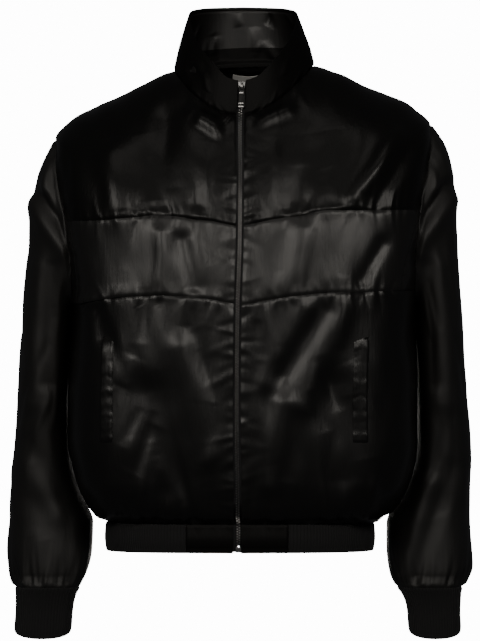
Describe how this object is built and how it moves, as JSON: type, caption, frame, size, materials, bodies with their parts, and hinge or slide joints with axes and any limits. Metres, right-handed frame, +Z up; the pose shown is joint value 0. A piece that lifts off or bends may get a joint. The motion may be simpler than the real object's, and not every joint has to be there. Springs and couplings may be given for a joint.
{
  "type": "bomber jacket",
  "caption": "Zip-front bomber jacket in black satin, tall funnel collar, seamed chest band, welt pockets, knitted hem and cuffs, hanging as worn.",
  "frame": {"origin": "middle of the neck at the height of the shoulder seams' inner ends, where the wearer carries the jacket", "axes": "+Z up, the front with the zip faces -Y, +X towards the wearer's left"},
  "size_m": [0.5952, 0.2929, 0.8044],
  "materials": {
    "satin": "glossy black satin",
    "knit": "matt ribbed knit",
    "tape": "matt woven tape",
    "zip_metal": "polished nickel colour",
    "label": "plain pale woven tape"
  },
  "bodies": {
    "jacket": {"front_lower_right": "satin", "chest_band_right": "satin", "chest_side_right": "satin", "front_yoke_right": "satin", "front_lower_left": "satin", "chest_band_left": "satin", "chest_side_left": "satin", "front_yoke_left": "satin", "back": "satin", "sleeve_right": "satin", "sleeve_left": "satin", "cuff_right": "knit", "cuff_left": "knit", "hem_rib": "knit", "hem_tab_right": "satin", "hem_tab_left": "satin", "collar": "satin", "pocket_welt_right": "satin", "pocket_welt_left": "satin", "zip_tape_right": "tape", "zip_tape_left": "tape", "zip_chain": "zip_metal", "zip_box": "zip_metal", "zip_slider": "zip_metal", "zip_bridge": "zip_metal", "neck_label": "label"},
    "pull_tab": {"zip_pull": "zip_metal"}
  },
  "joints": [
    {"name": "pull_tab_hinge", "type": "hinge", "parent": "jacket", "child": "pull_tab", "pos_m": [0.00217, -0.08266, -0.02384], "axis": [-1, 0.0047, -0.0005], "range_deg": [0, 150]}
  ]
}
